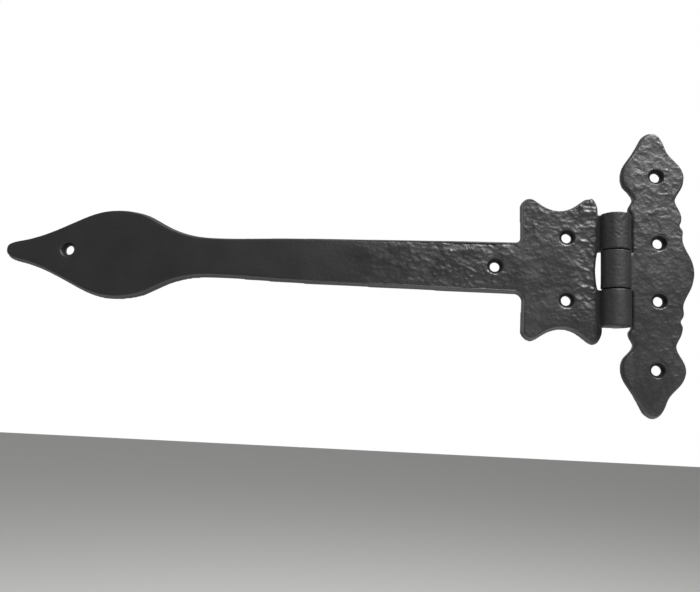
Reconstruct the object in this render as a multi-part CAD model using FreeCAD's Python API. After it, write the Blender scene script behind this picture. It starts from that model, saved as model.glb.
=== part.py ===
"""Ornamental tee hinge: a spear-ended strap leaf, a shaped frame leaf and the pin that joins them.

The frame is the hinge lying flat, as on a closed door. X runs across the door, the strap towards
-X and the frame leaf towards +X. Z is up, along the pin. Both leaves have their backs on the
plane Y = 0, and their faces look towards -Y. The origin is on that plane, behind the pin.
All sizes are millimetres.
"""
import FreeCAD, Part
import math
import os

V = FreeCAD.Vector

# Overall
strap_reach = 272.0        # pin axis to the spear's tip
frame_half_height = 63.1   # middle of the frame leaf to either of its tips
strap_thickness = 4.5
frame_thickness = 4.0
arris_radius = 1.2         # rounding of every front edge

# Barrel and pin
barrel_radius = 6.35
barrel_back_flat = 0.35    # the barrel's back is ground flush with the leaves by this much
barrel_length = 49.0
barrel_centre_z = -0.4     # the barrel sits a little below the strap's centre line
middle_knuckle = 16.4
knuckle_gap = 0.35         # between one knuckle's end and the next
pin_radius = 3.0
pin_running_clearance = 0.05
pin_stand_out = 0.7        # the riveted end outside the barrel
pin_end_chamfer = 0.4
edge_gap = 1.0             # barrel to the frame leaf's inner edge
slot_gap = 0.8             # barrel to the block, at the ends of the slot
slot_bow = 0.9             # how much deeper the slot is at its middle

# Spear and strap
spear_length = 96.0        # tip to neck
spear_half_width = 20.55
neck_half_width = 9.15
root_half_width = 11.7
upper_notch_radius = 1.5   # inner corners where the strap meets the block
lower_notch_radius = 2.8

# Block, the wide end of the strap leaf
block_length = 40.3        # pin axis to the block's strap end
lobe_side_gap = 0.7        # barrel's side to the lobes' barrel side
lower_strap_side_shift = 0.9   # the lower lobes are set this much nearer the barrel
lower_barrel_side_shift = 1.9
lower_lobe_drop = 0.3      # and reach this much further out
left_lobe_rise = 7.6       # the block's peaks and scallops, past the barrel's end
right_lobe_rise = 8.0
scallop_rise = 2.4

# Frame leaf, measured sideways from its inner edge
belly_width = 27.45        # middle bulge
waist_width = 22.65        # shallow scallop beside the barrel's end
neck_outer_width = 19.55
lobe_outer_width = 23.45
lobe_inner_overhang = 4.35 # lobe past the inner edge, beyond the barrel's end
shoulder_overhang = 1.0
shoulder_gap = 1.5         # barrel's end to the shoulder that leans over it
neck_rise = 7.1            # barrel's end to the neck
lobe_share = 0.33          # widest place of the lobe, from the neck (0) to the tip (1)
tip_offset = 9.05          # tip, sideways from the inner edge

# Screw holes, for a 4 mm countersunk wood screw
screw_radius = 2.15
mouth_radius = 3.35
sink_depth = 2.0
block_hole_inset = 20.0    # from the block's strap end
block_hole_z = 13.85
strap_hole_offset = 10.9   # from the block's strap end, on the strap
spear_hole_from_tip = 29.3
spear_hole_rise = 1.0      # the spear's hole is a little above the centre line
frame_inner_hole_x = 11.65 # from the frame leaf's inner edge
frame_inner_hole_z = 12.7
frame_outer_hole_x = 10.65
frame_outer_hole_rise = 0.2    # above the lobe's widest place

# Worked out from the sizes above
pin_y = barrel_back_flat - barrel_radius
inner_edge = barrel_radius + edge_gap
barrel_top = barrel_centre_z + barrel_length / 2
barrel_bottom = barrel_centre_z - barrel_length / 2
middle_top = barrel_centre_z + middle_knuckle / 2
middle_bottom = barrel_centre_z - middle_knuckle / 2
barrel_reach = barrel_length / 2 + abs(barrel_centre_z)    # its further end, from the centre line
block_edge = barrel_radius + lobe_side_gap
shoulder_height = barrel_reach + shoulder_gap
neck_height = barrel_reach + neck_rise
lobe_height = neck_height + lobe_share * (frame_half_height - neck_height)


def spline(points):
    """Smooth edge through (x, z) points on the back plane."""
    curve = Part.BSplineCurve()
    curve.interpolate([V(x, 0, z) for x, z in points])
    return curve.toShape()


def line(start, end):
    return Part.makeLine(V(start[0], 0, start[1]), V(end[0], 0, end[1]))


def arc(start, middle, end):
    return Part.Arc(*[V(x, 0, z) for x, z in (start, middle, end)]).toShape()


def mirrored(points):
    """The same points below the centre line, in the opposite order."""
    return [(x, -z) for x, z in reversed(points)]


def plate(edges, thickness):
    """Plate from an outline on Y = 0, its front arris rounded."""
    wire = Part.Wire(Part.__sortEdges__(edges))
    solid = Part.Face(wire).extrude(V(0, -thickness, 0))
    front = [e for e in solid.Edges if e.BoundBox.YMax < -thickness + 0.001]
    return solid.makeFillet(arris_radius, front)


def vertical_cylinder(radius, bottom, top):
    return Part.makeCylinder(radius, top - bottom, V(0, pin_y, bottom), V(0, 0, 1))


def knuckle(bottom, top):
    """Solid knuckle on the pin's axis, flat where it meets the plane of the backs."""
    round_part = vertical_cylinder(barrel_radius, bottom, top)
    beyond = Part.makeBox(2 * barrel_radius, barrel_radius, top - bottom, V(-barrel_radius, 0, bottom))
    return round_part.cut(beyond)


def web(x_start, x_end, bottom, top, thickness):
    """Flat bridge that carries a leaf into its knuckle."""
    corner = V(min(x_start, x_end), -thickness, bottom)
    return Part.makeBox(abs(x_end - x_start), thickness, top - bottom, corner)


def screw_hole(x, z, thickness):
    """Countersunk hole, its mouth in the front face."""
    bore = Part.makeCylinder(screw_radius, thickness + 2, V(x, 1, z), V(0, -1, 0))
    cone = Part.makeCone(screw_radius, mouth_radius, sink_depth, V(x, sink_depth - thickness, z), V(0, -1, 0))
    mouth = Part.makeCylinder(mouth_radius, 2, V(x, -thickness, z), V(0, -1, 0))
    return bore.fuse([cone, mouth])


def spear_edge():
    """Half outline from the nose to the neck, drawn as shares of the spear's length and width."""
    shares = [(0.006, 0.115), (0.031, 0.200), (0.081, 0.262), (0.140, 0.335), (0.240, 0.518),
              (0.342, 0.748), (0.446, 0.944), (0.525, 1.000), (0.603, 0.975), (0.680, 0.882),
              (0.758, 0.697), (0.836, 0.548), (0.912, 0.470)]
    tip = -strap_reach
    neck_share = neck_half_width / spear_half_width
    edge = [(tip + a * spear_length, b * spear_half_width) for a, b in shares]
    return edge + [(tip + spear_length, neck_share * spear_half_width)]


def strap_edge():
    """Half outline from the neck to the notch at the block, widening steadily."""
    start = -strap_reach + spear_length
    end = -block_length - max(upper_notch_radius, lower_notch_radius)
    widen = root_half_width - neck_half_width
    stations = [(0.2, 0.30), (0.5, 0.62), (0.8, 0.88), (1.0, 1.0)]
    return [(start + a * (end - start), neck_half_width + b * widen) for a, b in stations]


def block_lobes(strap_side_shift, barrel_side_shift, drop):
    """Half outline of the block from its strap end to its barrel side, as distances from the centre line."""
    left = -block_length + strap_side_shift
    right = -block_edge + barrel_side_shift
    span = right - left
    left_peak = barrel_top + left_lobe_rise + drop
    right_peak = barrel_top + right_lobe_rise + drop
    scallop = barrel_top + scallop_rise
    return [
        (left - 0.2, left_peak - 5.5),
        (left + 0.8, left_peak - 1.7),
        (left + 3.6, left_peak),
        (left + 0.27 * span, (left_peak + scallop) / 2),
        (left + 0.51 * span, scallop),
        (left + 0.73 * span, (right_peak + scallop) / 2 - 0.3),
        (right - 2.9, right_peak),
        (right - 0.8, right_peak - 2.6),
        (right, right_peak - 6.2),
    ]


def notch(x, side, r):
    """Rounded inner corner between the strap and the block; side is 1 above and -1 below."""
    bend = r * (1 - math.sqrt(0.5))
    return arc((x - r, side * root_half_width),
               (x - bend, side * (root_half_width + bend)),
               (x, side * (root_half_width + r)))


def strap_outline():
    edge = spear_edge() + strap_edge()
    around = mirrored(edge) + [(-strap_reach, 0)] + edge
    above = block_lobes(0, 0, 0)
    below = mirrored(block_lobes(lower_strap_side_shift, lower_barrel_side_shift, lower_lobe_drop))
    slot_top = (-barrel_radius - slot_gap, middle_top)
    slot_middle = (-barrel_radius - slot_gap - slot_bow, barrel_centre_z)
    slot_bottom = (-barrel_radius - slot_gap, middle_bottom)
    upper_x = -block_length
    lower_x = -block_length + lower_strap_side_shift
    root = edge[-1]
    upper_foot = (upper_x, root_half_width + upper_notch_radius)
    lower_foot = (lower_x, -root_half_width - lower_notch_radius)
    return [
        spline(around),
        line(root, (upper_x - upper_notch_radius, root_half_width)),
        notch(upper_x, 1, upper_notch_radius),
        line(upper_foot, above[0]),
        spline(above),
        line(above[-1], slot_top),
        arc(slot_top, slot_middle, slot_bottom),
        line(slot_bottom, below[0]),
        spline(below),
        line(below[-1], lower_foot),
        notch(lower_x, -1, lower_notch_radius),
        line((lower_x - lower_notch_radius, -root_half_width), (root[0], -root[1])),
    ]


def strap_leaf():
    """Spear, strap, block and the two outer knuckles, one casting."""
    body = plate(strap_outline(), strap_thickness)
    outer = [(middle_top + knuckle_gap, barrel_top), (barrel_bottom, middle_bottom - knuckle_gap)]
    for bottom, top in outer:
        body = body.fuse(web(-barrel_radius - slot_gap - 3 * arris_radius, 0, bottom, top, strap_thickness))
        body = body.fuse(knuckle(bottom, top))
    cuts = [vertical_cylinder(pin_radius, barrel_bottom - 1, barrel_top + 1)]
    block_hole_x = block_hole_inset - block_length
    holes = [(block_hole_x, block_hole_z), (block_hole_x, -block_hole_z),
             (-block_length - strap_hole_offset, 0),
             (spear_hole_from_tip - strap_reach, spear_hole_rise)]
    cuts += [screw_hole(x, z, strap_thickness) for x, z in holes]
    return body.cut(cuts).removeSplitter()


def above_neck(share):
    """Height on the frame leaf between its neck (0) and its tip (1)."""
    return neck_height + share * (frame_half_height - neck_height)


def frame_outer_edge():
    """Upper half of the outer edge, from the belly to beside the tip."""
    x = inner_edge
    waist = neck_height / 2
    return [
        (x + belly_width, 0),
        (x + belly_width - 1.3, 6.3),
        (x + waist_width + 0.9, waist - 4.5),
        (x + waist_width, waist - 0.5),
        (x + waist_width, waist + 3.0),
        (x + waist_width - 1.2, waist + 5.2),
        (x + waist_width - 0.5, waist + 6.8),
        (x + waist_width - 0.4, waist + 9.0),
        (x + waist_width - 1.4, waist + 12),
        (x + neck_outer_width, neck_height),
        (x + neck_outer_width + 1.7, above_neck(0.4 * lobe_share)),
        (x + lobe_outer_width - 0.4, above_neck(lobe_share - 0.083)),
        (x + lobe_outer_width - 0.1, above_neck(lobe_share + 0.05)),
        (x + lobe_outer_width - 2.5, above_neck(lobe_share + 0.205)),
        (x + tip_offset + 6.9, above_neck(0.726)),
        (x + tip_offset + 5.75, above_neck(0.82)),
        (x + tip_offset + 4.2, above_neck(0.914)),
    ]


def frame_inner_edge():
    """Upper half of the inner edge, from the shoulder at the barrel's end to beside the tip."""
    x = inner_edge
    return [
        (x - shoulder_overhang, shoulder_height),
        (x - 0.45, (shoulder_height + neck_height) / 2 + 0.2),
        (x + 0.75, neck_height),
        (x - 0.15, above_neck(0.22 * lobe_share)),
        (x - lobe_inner_overhang + 0.9, above_neck(0.6 * lobe_share)),
        (x - lobe_inner_overhang, lobe_height),
        (x - lobe_inner_overhang + 0.9, above_neck(lobe_share + 0.139)),
        (x + tip_offset - 8.75, above_neck(0.66)),
        (x + tip_offset - 6.0, above_neck(0.82)),
        (x + tip_offset - 4.4, above_neck(0.914)),
    ]


def rounded_tip(start, end):
    """Points of the blunt tip of the frame leaf, from its outer edge to its inner edge."""
    x = inner_edge + tip_offset
    z = frame_half_height
    return [start, (x + 2.0, z - 0.6), (x, z), (x - 2.0, z - 0.6), end]


def frame_outline():
    outer = frame_outer_edge()
    inner = frame_inner_edge()
    tip = rounded_tip(outer[-1], inner[-1])
    below = mirrored(outer)
    shoulder = (inner_edge, shoulder_height - shoulder_gap + 0.1)
    return [
        spline(below + outer[1:]),
        spline(tip),
        spline(list(reversed(inner))),
        line(inner[0], shoulder),
        line(shoulder, (shoulder[0], -shoulder[1])),
        line((shoulder[0], -shoulder[1]), (inner[0][0], -inner[0][1])),
        spline(mirrored(list(reversed(inner)))),
        spline(mirrored(tip)),
    ]


def frame_leaf():
    """Ornamental plate and the middle knuckle, one casting."""
    body = plate(frame_outline(), frame_thickness)
    body = body.fuse(web(0, inner_edge + 3 * arris_radius, middle_bottom, middle_top, frame_thickness))
    body = body.fuse(knuckle(middle_bottom, middle_top))
    running = pin_radius + pin_running_clearance
    cuts = [vertical_cylinder(running, middle_bottom - 1, middle_top + 1)]
    inner_x = inner_edge + frame_inner_hole_x
    outer_x = inner_edge + frame_outer_hole_x
    outer_z = lobe_height + frame_outer_hole_rise
    for x, z in ((inner_x, frame_inner_hole_z), (outer_x, outer_z)):
        cuts += [screw_hole(x, side * z, frame_thickness) for side in (1, -1)]
    return body.cut(cuts).removeSplitter()


def hinge_pin():
    """Steel pin, a press fit in the outer knuckles, its ends riveted over."""
    pin = vertical_cylinder(pin_radius, barrel_bottom - pin_stand_out, barrel_top + pin_stand_out)
    ends = [e for e in pin.Edges if e.Curve.TypeId == "Part::GeomCircle"]
    return pin.makeChamfer(pin_end_chamfer, ends)


os.makedirs("parts", exist_ok=True)
for name, shape in (("strap_leaf", strap_leaf()), ("frame_leaf", frame_leaf()), ("hinge_pin", hinge_pin())):
    shape.exportStep("parts/" + name + ".step")
    box = shape.BoundBox
    print(name, "solids", len(shape.Solids), "valid", shape.isValid(), "volume", round(shape.Volume, 1),
          "box", [round(v, 2) for v in (box.XMin, box.YMin, box.ZMin, box.XMax, box.YMax, box.ZMax)])
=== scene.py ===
"""A black ornamental tee hinge: cast strap leaf, cast frame leaf and the riveted pin between them."""
import math

import bmesh
import bpy
import numpy as np
from mathutils import Matrix, Vector


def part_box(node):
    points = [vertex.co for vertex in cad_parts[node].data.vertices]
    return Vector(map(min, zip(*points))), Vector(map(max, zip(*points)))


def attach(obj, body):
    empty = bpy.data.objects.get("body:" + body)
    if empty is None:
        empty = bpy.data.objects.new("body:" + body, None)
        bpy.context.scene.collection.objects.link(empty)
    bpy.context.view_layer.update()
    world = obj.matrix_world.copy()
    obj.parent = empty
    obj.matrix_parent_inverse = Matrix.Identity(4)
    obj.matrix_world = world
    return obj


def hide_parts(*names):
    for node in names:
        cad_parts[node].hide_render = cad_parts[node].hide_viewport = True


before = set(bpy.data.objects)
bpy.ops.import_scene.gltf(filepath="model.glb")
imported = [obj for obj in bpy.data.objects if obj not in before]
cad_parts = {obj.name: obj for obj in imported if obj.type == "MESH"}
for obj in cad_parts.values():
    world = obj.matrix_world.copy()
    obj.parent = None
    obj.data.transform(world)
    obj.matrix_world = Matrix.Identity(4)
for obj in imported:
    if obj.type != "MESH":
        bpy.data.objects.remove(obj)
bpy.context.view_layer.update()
MM = 0.001


# ---------------------------------------------------------------------------------------------
# Camera. It stands a little below the hinge and towards the strap, so that the lower and the
# strap-side edges of the castings show. Lens 41 mm, turned slightly on its own axis.
# ---------------------------------------------------------------------------------------------
camera_place = Vector((-91.3, -350.7, -65.8)) * MM
camera_turn = math.radians(-3.75)     # away from straight into the door, towards the strap
camera_lift = math.radians(8.23)      # looking up
camera_roll = math.radians(2.68)

into = Vector((math.sin(camera_turn) * math.cos(camera_lift),
               math.cos(camera_turn) * math.cos(camera_lift),
               math.sin(camera_lift)))
level_right = Vector((math.cos(camera_turn), -math.sin(camera_turn), 0))
level_up = level_right.cross(into)
image_right = level_right * math.cos(camera_roll) + level_up * math.sin(camera_roll)
image_up = image_right.cross(into)
camera_data = bpy.data.cameras.new("Camera")
camera_data.lens = 41.14
camera_data.clip_start = 0.01
camera = bpy.data.objects.new("Camera", camera_data)
camera.matrix_world = (Matrix.Translation(camera_place)
                       @ Matrix((image_right, image_up, -into)).transposed().to_4x4())
bpy.context.scene.collection.objects.link(camera)
bpy.context.scene.camera = camera


# ---------------------------------------------------------------------------------------------
# Studio. A pale floor well below the hinge, a white surround that the camera sees, a dimmer one
# that the paint mirrors, and soft lamps, the main one high on the frame leaf's side.
# ---------------------------------------------------------------------------------------------
def srgb(code):
    """Linear colour of an sRGB hex code: each channel above 0.04 is raised to 2.4 after its offset."""
    channels = [int(code[i:i + 2], 16) / 255 for i in (1, 3, 5)]
    linear = [c / 12.92 if c <= 0.04045 else ((c + 0.055) / 1.055) ** 2.4 for c in channels]
    return (*linear, 1.0)


def add_node(tree, kind, settings=None, links=None):
    """One node: settings are its properties or the values of its inputs, links feed its inputs."""
    node = tree.nodes.new(kind)
    for name, value in (settings or {}).items():
        if isinstance(name, int) or name in node.inputs:
            node.inputs[name].default_value = value
        else:
            setattr(node, name, value)
    for name, source in (links or {}).items():
        tree.links.new(source, node.inputs[name])
    return node


def softbox(name, place, aim, width, height, power):
    """A flat rectangular lamp at a place, turned to face its aim. Sizes in metres, power in watts."""
    lamp = bpy.data.lights.new(name, "AREA")
    lamp.shape = "RECTANGLE"
    lamp.size = width
    lamp.size_y = height
    lamp.energy = power
    holder = bpy.data.objects.new(name, lamp)
    holder.location = place
    holder.rotation_euler = (Vector(aim) - Vector(place)).to_track_quat("-Z", "Y").to_euler()
    bpy.context.scene.collection.objects.link(holder)


world = bpy.data.worlds.new("Surround")
bpy.context.scene.world = world
world.use_nodes = True
surround = world.node_tree
surround.nodes.clear()
seen = add_node(surround, "ShaderNodeBackground", {"Color": srgb("#ffffff"), "Strength": 1.0})
looking = add_node(surround, "ShaderNodeTexCoord").outputs["Generated"]
behind_strap = (-0.55, 0.8, -0.2)    # the bright side of the surround, behind the strap's tip
behind = add_node(surround, "ShaderNodeVectorMath", {"operation": "DOT_PRODUCT", 1: behind_strap},
                  {0: looking}).outputs["Value"]
wall_glow = add_node(surround, "ShaderNodeMapRange",
                     {"From Min": 0.1, "From Max": 0.8, "To Min": 0.10, "To Max": 1.0}, {0: behind})
mirrored_part = add_node(surround, "ShaderNodeBackground", {"Color": srgb("#ffffff")},
                         {"Strength": wall_glow.outputs[0]})
path = add_node(surround, "ShaderNodeLightPath")
either = add_node(surround, "ShaderNodeMixShader", links={0: path.outputs["Is Camera Ray"],
                                                          1: mirrored_part.outputs[0],
                                                          2: seen.outputs[0]})
add_node(surround, "ShaderNodeOutputWorld", links={"Surface": either.outputs[0]})

softbox("Main softbox", (0.42, -0.76, 0.97), (0.0, 0.0, 0.02), 0.30, 0.30, 42.0)
softbox("Side softbox", (0.85, -0.80, 0.10), (0.0, 0.0, 0.0), 0.5, 0.8, 0.9)
softbox("Top softbox", (0.05, -0.25, 1.15), (0.0, 0.0, 0.0), 0.9, 0.35, 6.0)
softbox("Left softbox", (-0.95, -0.12, 0.12), (0.0, 0.0, 0.0), 0.7, 0.7, 2.0)
softbox("Strap softbox", (-0.55, -0.75, 0.45), (-0.12, 0.0, 0.0), 0.6, 0.4, 0.2)

floor_mesh = bpy.data.meshes.new("Floor")
floor_half = 8.0
floor_drop = -0.45
floor_mesh.from_pydata([(x * floor_half, y * floor_half, floor_drop)
                        for x, y in ((-1, -1), (1, -1), (1, 1), (-1, 1))], [], [(0, 1, 2, 3)])
floor = bpy.data.objects.new("Floor", floor_mesh)
bpy.context.scene.collection.objects.link(floor)
floor_paint = bpy.data.materials.new("Matt pale floor paint")
floor_paint.use_nodes = True
floor_shader = floor_paint.node_tree.nodes["Principled BSDF"]
floor_shader.inputs["Base Color"].default_value = srgb("#e9e9e7")
floor_shader.inputs["Roughness"].default_value = 0.8
floor_mesh.materials.append(floor_paint)
bpy.context.scene.view_settings.view_transform = "Standard"


# ---------------------------------------------------------------------------------------------
# Strap leaf. Grey iron cast in one piece: spear, strap, block and the two outer knuckles. The
# pattern was hammered near the barrel and left smooth at the spear. The designed casting gets an
# even skin of small faces, cast-in fillets at its knuckles, then the hammered relief.
# ---------------------------------------------------------------------------------------------
def even_skin(name, node, face_size):
    """A copy of a designed casting, its points merged, as one skin of equal small faces."""
    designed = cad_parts[node].data
    shape = bmesh.new()
    shape.from_mesh(designed)
    bmesh.ops.remove_doubles(shape, verts=shape.verts, dist=0.001 * MM)
    mesh = bpy.data.meshes.new(name)
    shape.to_mesh(mesh)
    shape.free()
    rough = bpy.data.objects.new(name, mesh)
    bpy.context.scene.collection.objects.link(rough)
    skin = rough.modifiers.new("Even skin", "REMESH")
    skin.mode = "VOXEL"
    skin.voxel_size = face_size
    ready = rough.evaluated_get(bpy.context.evaluated_depsgraph_get())
    final = bpy.data.meshes.new_from_object(ready)
    rough.modifiers.clear()
    rough.data = final
    final.name = name
    final.materials.clear()
    final.polygons.foreach_set("use_smooth", np.ones(len(final.polygons), bool))
    return rough


def points_of(piece):
    """Every point of a piece as rows of x, y, z in millimetres."""
    flat = np.empty(len(piece.data.vertices) * 3)
    piece.data.vertices.foreach_get("co", flat)
    return flat.reshape(-1, 3) / MM


def put_points(piece, points):
    """Moves every point of a piece to new rows of x, y, z in millimetres."""
    piece.data.vertices.foreach_set("co", (points * MM).ravel())
    piece.data.update()


def outward(piece):
    """The outward direction at every point, one unit long."""
    flat = np.empty(len(piece.data.vertices) * 3)
    piece.data.vertex_normals.foreach_get("vector", flat)
    return flat.reshape(-1, 3)


def relax(piece, amount, rounds):
    """Each point moves towards the mean of its neighbours, round after round. The amount is the share
    of the way, one number for the whole piece or one for each point."""
    ends = np.empty(len(piece.data.edges) * 2, np.int64)
    piece.data.edges.foreach_get("vertices", ends)
    first, second = ends.reshape(-1, 2).T
    points = points_of(piece)
    share = np.broadcast_to(amount, len(points))[:, None]
    count = np.bincount(np.concatenate((first, second)), minlength=len(points))[:, None]
    for _ in range(rounds):
        total = np.stack([np.bincount(first, points[second, k], len(points))
                          + np.bincount(second, points[first, k], len(points)) for k in range(3)], 1)
        points += (total / count - points) * share
    put_points(piece, points)


def lean_sides(piece, amount, thickness, holes):
    """Sides drawn in like a cast pattern's: a point moves against its level outward direction, by
    nothing on the back's square land and by the whole amount where the front rounding starts.
    The barrel and the screw holes, given as x and z, stay as they are."""
    points = points_of(piece)
    way = outward(piece)
    away = np.min([np.hypot(points[:, 0] - x, points[:, 2] - z) for x, z in holes], axis=0)
    from_pin = np.hypot(points[:, 0], points[:, 1] - pin_y)
    share = np.clip((-points[:, 1] - 0.5) / (thickness - 1.7), 0, 1)
    share *= ramp(away, 4.2, 5.4) * ramp(from_pin, barrel_radius + 3.0, barrel_radius + 5.0)
    points[:, 0] -= amount * share * way[:, 0]
    points[:, 2] -= amount * share * way[:, 2]
    put_points(piece, points)


def ramp(value, start, end):
    """0 before start, 1 after end, eased between them."""
    t = np.clip((value - start) / (end - start), 0, 1)
    return t * t * (3 - 2 * t)


def rolling_noise(points, cell, seed):
    """Smooth noise of about -1 to 1. Each corner of a lattice has a random direction; a point takes
    the eased blend of its eight corners' products with the way from the corner to the point."""
    directions = np.random.default_rng(seed).normal(size=(8192, 3))
    directions /= np.linalg.norm(directions, axis=1, keepdims=True)
    scaled = points / cell
    low = np.floor(scaled).astype(np.int64)
    inside = scaled - low
    ease = inside ** 3 * (inside * (inside * 6 - 15) + 10)
    total = np.zeros(len(points))
    for corner in np.ndindex(2, 2, 2):
        step = np.array(corner)
        place = low + step
        pick = (place[:, 0] * 73856093 ^ place[:, 1] * 19349663 ^ place[:, 2] * 83492791) % 8192
        share = np.prod(np.where(step, ease, 1 - ease), axis=1)
        total += share * ((inside - step) * directions[pick]).sum(1)
    return total * 1.6


def hammer_facets(points, pitch, stretch, seed):
    """Flats left by overlapping blows, 0 at their deepest. Every cell of a square grid takes one blow,
    at a random spot, tilt and depth; the surface is the lowest of the shallow bowls around a point."""
    x = points[:, 0] / (pitch * stretch)
    z = points[:, 2] / pitch
    column = np.floor(x).astype(np.int64)
    row = np.floor(z).astype(np.int64)
    rng = np.random.default_rng(seed)
    spots = rng.uniform(0, 1, (4096, 5))
    lowest = np.full(len(points), 9.0)
    for dx in (-1, 0, 1):
        for dz in (-1, 0, 1):
            pick = ((column + dx) * 7349 ^ (row + dz) * 9151) % 4096
            away_x = x - (column + dx + spots[pick, 0])
            away_z = z - (row + dz + spots[pick, 1])
            tilt = (spots[pick, 2] - 0.5) * away_x + (spots[pick, 3] - 0.5) * away_z
            bowl = 0.55 * (away_x ** 2 + away_z ** 2) + 0.9 * tilt + 0.35 * spots[pick, 4]
            lowest = np.minimum(lowest, bowl)
    return lowest


def hammered(points, depth, stretch, slope):
    """Relief in millimetres, 0 on the crests and down to minus the depth: large blows, smaller ones
    and wrinkles drawn out along a slope, all bent by smooth noise, and a sandy grain."""
    along = points[:, 0] * math.cos(slope) + points[:, 2] * math.sin(slope)
    across = points[:, 2] * math.cos(slope) - points[:, 0] * math.sin(slope)
    turned = np.stack([along, points[:, 1], across], 1)
    bend = np.stack([rolling_noise(turned, 4.0, s) for s in (1, 2, 3)], 1)
    bent = turned + 1.3 * bend
    blows = np.clip(hammer_facets(bent, 4.2, stretch, 4) / 0.6, 0, 1)
    small_blows = np.clip(hammer_facets(bent + 50, 1.8, stretch, 5) / 0.6, 0, 1)
    wrinkles = 1 - np.abs(rolling_noise(bent * (1 / stretch, 1, 1), 1.7, 6))
    roll = 0.5 + 0.5 * rolling_noise(points, 9.0, 7)
    grain = 0.5 + 0.5 * rolling_noise(points, 1.0, 8)
    pattern = 0.30 * blows + 0.20 * small_blows + 0.15 * wrinkles + 0.22 * roll + 0.13 * grain
    return depth * (np.clip(pattern, 0, 0.85) - 0.85)


def knuckle_pits(points):
    """0 to 1: small sharp-edged pits and scratches, left by the sand and by fitting the pin."""
    pits = rolling_noise(points * (1, 1, 1.6), 1.5, 41) + 0.5 * rolling_noise(points, 3.2, 42)
    scores = np.clip(rolling_noise(points * (1, 1, 0.12), 0.9, 43), 0, 0.5)
    return np.clip(pits, 0, 0.6) / 0.6 + 0.35 * scores


def rubbed(relief, depth):
    """How much smoother the paint is where hands and cloths reach, on the relief's upper third."""
    return 0.08 * ramp(depth, 0.15, 0.45) * ramp(relief / np.maximum(depth, 0.01), -0.55, -0.3)


def in_holes(points, holes):
    """1 inside the screw holes, 0 beyond their mouths."""
    away = np.min([np.hypot(points[:, 0] - x, points[:, 2] - z) for x, z in holes], axis=0)
    return 1 - ramp(away, 2.9, 3.5)


def keep_number(piece, name, value):
    """A number at every point that the material can read."""
    kept = piece.data.attributes.new(name, "FLOAT", "POINT")
    kept.data.foreach_set("value", value.astype(np.float32))


strap_skin = 0.47 * MM
strap_thickness = 4.5
side_lean = 0.95               # how far both castings' sides are drawn in towards the front
light_smoothing = 0.12         # for the whole casting
fillet_smoothing = 0.6         # for the inner corners beside the knuckles
pin_low, pin_high = (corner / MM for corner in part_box("hinge_pin"))
pin_y = (pin_low.y + pin_high.y) / 2
barrel_radius = 6.35
strap_holes = [(-20.3, 13.85), (-20.3, -13.85), (-51.2, 0), (-242.7, 1)]    # x and z

# The designed shape, its sides drawn in, then smoothed: lightly all over and well beside the outer
# knuckles, where the pattern had fillets.
strap = even_skin("Strap_leaf_casting", "strap_leaf", strap_skin)
place = points_of(strap)
from_pin = np.hypot(place[:, 0], place[:, 1] - pin_y)
beside_barrel = (ramp(place[:, 0], -9.5, -7.0) * (place[:, 1] < -3.0) * (from_pin > barrel_radius - 0.6)
                 * (np.abs(place[:, 2]) > 9.2) * (np.abs(place[:, 2]) < 24.0))
lean_sides(strap, side_lean, strap_thickness, strap_holes)
relax(strap, light_smoothing, 8)
relax(strap, fillet_smoothing * beside_barrel, 18)

# Hammered relief: almost none on the spear, more towards the block, deepest in the patches along its
# barrel side and on the strap next to it. It fades on the barrel and on faces that look sideways.
place = points_of(strap)
way = outward(strap)
facing = ramp(-way[:, 1], 0.15, 0.8)
on_barrel = 1 - ramp(from_pin, barrel_radius + 0.2, barrel_radius + 2.0)
wide_end = ramp(place[:, 0], -150.0, -62.0)
barrel_side = ramp(place[:, 0], -19.0, -12.0) * ramp(place[:, 2], -22.0, -8.0)
strength = (0.04 + 0.96 * wide_end) * facing * (1 - 0.8 * on_barrel)
crown = 0.45 * ramp(place[:, 0], -160.0, -70.0) * (1 - ramp(place[:, 0], -46.0, -38.0))
on_strap = ramp(place[:, 0], -125.0, -70.0) * (1 - ramp(place[:, 0], -52.0, -40.0))
patches = (0.68 + 0.35 * rolling_noise(place, 24.0, 21) + 0.6 * ramp(place[:, 2], 5.0, 24.0)
           + 1.1 * on_strap + 1.6 * barrel_side)
blow_depth = 0.72 * strength * np.clip(patches, 0.4, 2.1)
blow_slope = math.radians(-14)
relief = hammered(place, blow_depth, 1.6, blow_slope)

# Finer chatter marks beside the slot, the strap's crowned edges, and wear on the outer knuckles.
beside_slot = ramp(place[:, 0], -21.0, -12.0) * (1 - ramp(np.abs(place[:, 2] - 6.0), 5.0, 13.0))
chatter = 0.16 * facing * beside_slot * (1 - on_barrel)
relief -= chatter * (0.5 + 0.5 * rolling_noise(place * (0.7, 1, 1), 1.15, 51))
relief -= crown * facing * np.clip(np.abs(place[:, 2]) / 10.8, 0, 1) ** 4
worn = 0.10 * on_barrel * ramp(place[:, 0], -8.0, -6.0) * ramp(-way[:, 1], 0.1, 0.5)
relief -= worn * (1 + 1.5 * ramp(place[:, 2], 6.0, 16.0)) * knuckle_pits(place)
put_points(strap, place + way * relief[:, None])

# What the paint needs to know at every point: how hammered and how rough it is, and a painted shade.
# Painted shade: the reflection is turned down inside the screw holes, on the barrel and on the spear
# half, so these read darker.
painted_shade_barrel_spear = 0.38 * on_barrel + 0.50 * (1 - wide_end)
keep_number(strap, "painted_shade_dullness", np.maximum(in_holes(place, strap_holes), painted_shade_barrel_spear))
keep_number(strap, "hammering", strength)
keep_number(strap, "paint_roughness", 0.41 + 0.16 * on_barrel - rubbed(relief, blow_depth))
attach(strap, "strap_side")
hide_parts("strap_leaf")


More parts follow.
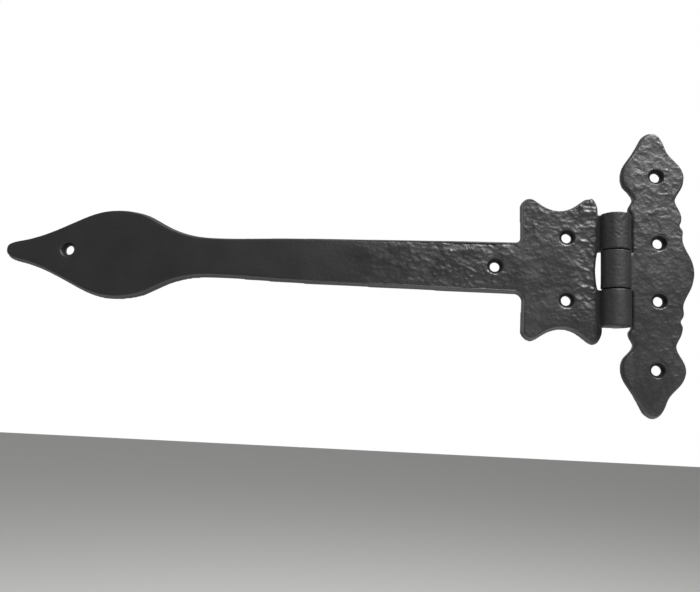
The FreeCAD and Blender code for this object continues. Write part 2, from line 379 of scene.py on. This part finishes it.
def painted_iron(name, dark, light):
    """Satin black paint brushed over cast iron: near black, a broad soft sheen, glossier where the
    hammered metal is burnished through thin paint, fine pimples from the sand mould. The gloss drifts
    over 14 mm, about a small brush's width, and the pimples are 1.5 mm, the coarsest of the sand.
    Its reflection is turned down by a painted shade in the screw holes, on the barrel and on the spear."""
    material = bpy.data.materials.new(name)
    material.use_nodes = True
    tree = material.node_tree
    tree.nodes.clear()
    place = add_node(tree, "ShaderNodeTexCoord").outputs["Object"]
    hammer = add_node(tree, "ShaderNodeAttribute", {"attribute_name": "hammering"}).outputs["Fac"]
    cloud = add_node(tree, "ShaderNodeTexNoise", {"Scale": 1 / (14 * MM), "Detail": 3.0},
                     {"Vector": place}).outputs["Fac"]
    colour = add_node(tree, "ShaderNodeMix", {"data_type": "RGBA", 6: srgb(dark), 7: srgb(light)},
                      {0: cloud}).outputs[2]
    satin = add_node(tree, "ShaderNodeAttribute", {"attribute_name": "paint_roughness"}).outputs["Fac"]
    gloss = add_node(tree, "ShaderNodeMath", {"operation": "MULTIPLY_ADD", 1: 0.12},
                     {0: cloud, 2: satin}).outputs[0]
    pimples = add_node(tree, "ShaderNodeTexNoise", {"Scale": 1 / (1.5 * MM), "Detail": 4.0},
                       {"Vector": place}).outputs["Fac"]
    roughcast = add_node(tree, "ShaderNodeMapRange", {"To Min": 0.25, "To Max": 1.0}, {"Value": hammer})
    skin = add_node(tree, "ShaderNodeBump", {"Distance": 0.16 * MM},
                    {"Strength": roughcast.outputs[0], "Height": pimples})
    # Painted shade: where this attribute is high the reflection is turned down, darkening the holes, the
    # barrel and the spear.
    shade_dullness = add_node(tree, "ShaderNodeAttribute", {"attribute_name": "painted_shade_dullness"}).outputs["Fac"]
    shine = add_node(tree, "ShaderNodeMapRange", {"To Min": 0.5, "To Max": 0.12}, {"Value": shade_dullness})
    shader = add_node(tree, "ShaderNodeBsdfPrincipled", {"IOR": 1.5},
                      {"Base Color": colour, "Specular IOR Level": shine.outputs[0],
                       "Roughness": gloss, "Normal": skin.outputs[0]})
    add_node(tree, "ShaderNodeOutputMaterial", links={"Surface": shader.outputs[0]})
    return material


strap_paint = painted_iron("Satin black paint on cast iron", "#111112", "#19191a")
strap.data.materials.append(strap_paint)


# ---------------------------------------------------------------------------------------------
# Frame leaf. The same iron and paint: a scalloped plate hammered all over its face, with the
# middle knuckle cast on. It is made as the strap leaf is.
# ---------------------------------------------------------------------------------------------
plate_skin = 0.40 * MM
plate_thickness = 4.0
plate_blow_depth = 0.48
plate_holes = [(19.0, 12.7), (19.0, -12.7), (18.0, 42.5), (18.0, -42.5)]
plate = even_skin("Frame_leaf_casting", "frame_leaf", plate_skin)
place = points_of(plate)
from_pin = np.hypot(place[:, 0], place[:, 1] - pin_y)
beside_barrel = (ramp(-place[:, 0], -9.5, -6.8) * (place[:, 1] < -2.6) * (from_pin > barrel_radius - 0.6)
                 * (np.abs(place[:, 2]) < 7.4))
lean_sides(plate, side_lean, plate_thickness, plate_holes)
relax(plate, light_smoothing, 8)
relax(plate, fillet_smoothing * beside_barrel, 20)

# Relief over the whole face, nearly half as deep again in the upper lobe, and wear on the knuckle.
place = points_of(plate)
way = outward(plate)
facing = ramp(-way[:, 1], 0.15, 0.8)
on_barrel = 1 - ramp(from_pin, barrel_radius + 0.2, barrel_radius + 2.0)
strength = facing * (1 - 0.85 * on_barrel)
patches = 1 + 0.35 * rolling_noise(place, 18.0, 22) + 0.45 * ramp(place[:, 2], 14.0, 34.0)
blow_slope = math.radians(-30)
relief = hammered(place, plate_blow_depth * strength * patches, 1.15, blow_slope)
relief -= 0.12 * on_barrel * ramp(-way[:, 1], 0.1, 0.5) * knuckle_pits(place)
put_points(plate, place + way * relief[:, None])
# Painted shade: the reflection is turned down inside the screw holes and on the knuckle, so these read
# darker.
keep_number(plate, "painted_shade_dullness", np.maximum(in_holes(place, plate_holes), 0.38 * on_barrel))
keep_number(plate, "hammering", strength)
keep_number(plate, "paint_roughness", 0.41 + 0.14 * on_barrel
            - rubbed(relief, plate_blow_depth * strength))
plate.data.materials.append(strap_paint)
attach(plate, "frame_side")
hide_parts("frame_leaf")


# ---------------------------------------------------------------------------------------------
# Hinge pin. Turned mild steel, pressed through the barrel and riveted over at both ends, then
# painted with the leaves. A turned profile, its two ends domed and marked by the riveting hammer.
# ---------------------------------------------------------------------------------------------
pin_radius = (pin_high.x - pin_low.x) / 2
dome_height = 0.75
dent_depth = 0.16
turn = np.linspace(0, 2 * math.pi, 64, endpoint=False)

# Lower dome: radius times the sine of an angle, height times one less its cosine, a quarter turn.
# The upper dome is the same profile the other way up, and the shank is the step between them.
quarter = np.linspace(0.02, 1, 9) * math.pi / 2
dome_radius = pin_radius * np.sin(quarter)
dome_z = pin_low.z + dome_height * (1 - np.cos(quarter))
profile_radius = np.concatenate((dome_radius, dome_radius[::-1]))[:, None]
profile_z = np.concatenate((dome_z, pin_low.z + pin_high.z - dome_z[::-1]))[:, None]
rings = np.stack(np.broadcast_arrays(profile_radius * np.cos(turn),
                                     pin_y + profile_radius * np.sin(turn), profile_z), 2)
points = rings.reshape(-1, 3)
near_end = 1 - ramp(np.minimum(points[:, 2] - pin_low.z, pin_high.z - points[:, 2]), 0.3, 0.8)
dent = dent_depth * near_end * (0.5 + 0.5 * rolling_noise(points, 1.3, 31))
points[:, 2] += np.where(points[:, 2] < (pin_low.z + pin_high.z) / 2, dent, -dent)

# Four-sided faces between each ring of points and the next one up, and one flat face at each end.
ring_size = len(turn)
corner = np.arange(len(points)).reshape(-1, ring_size)
beside = np.roll(corner, -1, axis=1)
sides = np.stack((corner[:-1], beside[:-1], beside[1:], corner[1:]), 2).reshape(-1, 4)
faces = sides.tolist() + [corner[0, ::-1].tolist(), corner[-1].tolist()]
pin_mesh = bpy.data.meshes.new("Riveted_hinge_pin")
pin_mesh.from_pydata((points * MM).tolist(), [], faces)
pin_mesh.polygons.foreach_set("use_smooth", np.ones(len(pin_mesh.polygons), bool))
pin = bpy.data.objects.new("Riveted_hinge_pin", pin_mesh)
bpy.context.scene.collection.objects.link(pin)
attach(pin, "strap_side")
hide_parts("hinge_pin")

# Black paint on bright steel: the same paint as the leaves, thinner and a little glossier, following
# # the small dents that the hammer left in the riveted ends. Its colour carries a painted shade:
# # darker in the dents' hollows, lighter on their rises.
pin_paint = bpy.data.materials.new("Black paint on riveted steel")
pin_paint.use_nodes = True
pin_tree = pin_paint.node_tree
pin_tree.nodes.clear()
pin_place = add_node(pin_tree, "ShaderNodeTexCoord").outputs["Object"]
pin_dents = add_node(pin_tree, "ShaderNodeTexNoise", {"Scale": 1 / (1.4 * MM), "Detail": 3.0},
                     {"Vector": pin_place}).outputs["Fac"]
pin_skin = add_node(pin_tree, "ShaderNodeBump", {"Strength": 0.7, "Distance": 0.12 * MM},
                    {"Height": pin_dents})
# Painted shade: the colour is darker where the dents are low and lighter where they rise.
pin_colour_with_painted_shade = add_node(pin_tree, "ShaderNodeMix",
                      {"data_type": "RGBA", 6: srgb("#161617"), 7: srgb("#262627")},
                      {0: pin_dents}).outputs[2]
pin_gloss = add_node(pin_tree, "ShaderNodeMapRange", {"To Min": 0.34, "To Max": 0.46},
                     {"Value": pin_dents})
pin_shader = add_node(pin_tree, "ShaderNodeBsdfPrincipled", {"IOR": 1.5},
                      {"Base Color": pin_colour_with_painted_shade, "Roughness": pin_gloss.outputs[0],
                       "Normal": pin_skin.outputs[0]})
add_node(pin_tree, "ShaderNodeOutputMaterial", links={"Surface": pin_shader.outputs[0]})
pin_mesh.materials.append(pin_paint)
